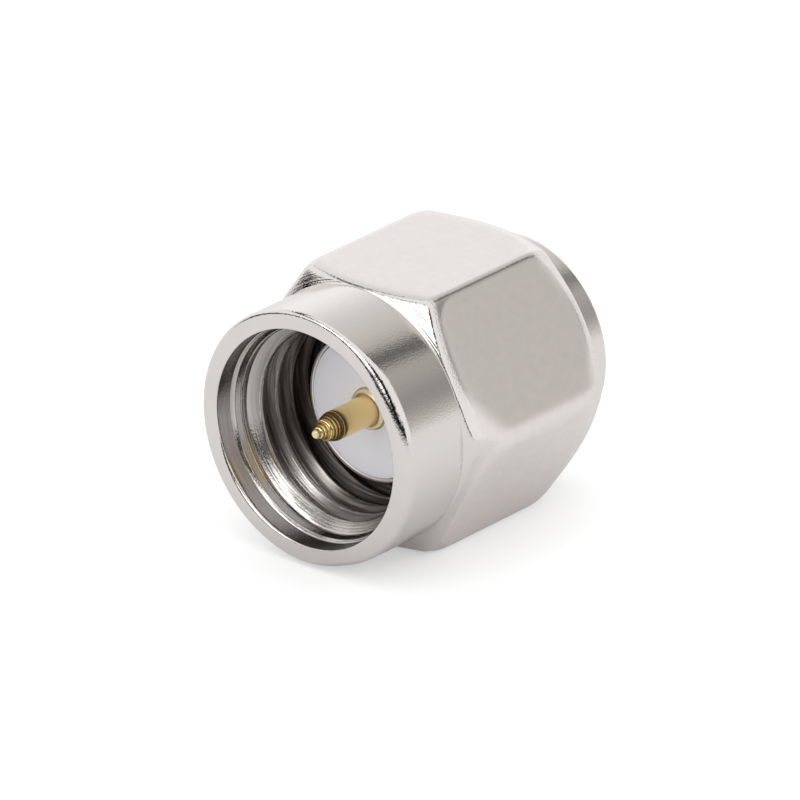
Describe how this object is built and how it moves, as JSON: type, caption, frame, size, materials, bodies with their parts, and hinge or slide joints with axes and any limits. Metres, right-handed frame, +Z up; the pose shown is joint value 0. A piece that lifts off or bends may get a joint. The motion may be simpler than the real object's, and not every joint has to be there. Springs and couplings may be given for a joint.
{
  "type": "sma connector",
  "caption": "Straight coaxial plug: gold pin in a white insulator, nickel body, and a hexagonal threaded coupling nut that turns freely on it.",
  "frame": {"origin": "on the connector axis in the mating reference plane, at the outer contact face", "axes": "+Y along the connector axis towards the cable, -Y out of the mating side, +Z up with one hexagon flat down at z = -4 mm"},
  "size_m": [0.0092, 0.0099, 0.008],
  "materials": {
    "nickel_plate": "satin nickel plate on turned brass",
    "spring_bronze": "bare beryllium copper spring strip",
    "gasket_rubber": "matte silicone rubber",
    "ptfe": "waxy white fluoropolymer",
    "gold_plate": "gold plate over turned brass"
  },
  "bodies": {
    "body": {"connector_body": "nickel_plate", "dielectric": "ptfe", "centre_contact": "gold_plate", "gasket": "gasket_rubber"},
    "nut": {"coupling_nut": "nickel_plate", "snap_ring": "spring_bronze"}
  },
  "joints": [
    {"name": "nut_turn", "type": "hinge", "parent": "body", "child": "nut", "pos_m": [0, 0.0035, 0], "axis": [0, 1, 0], "continuous": true}
  ]
}
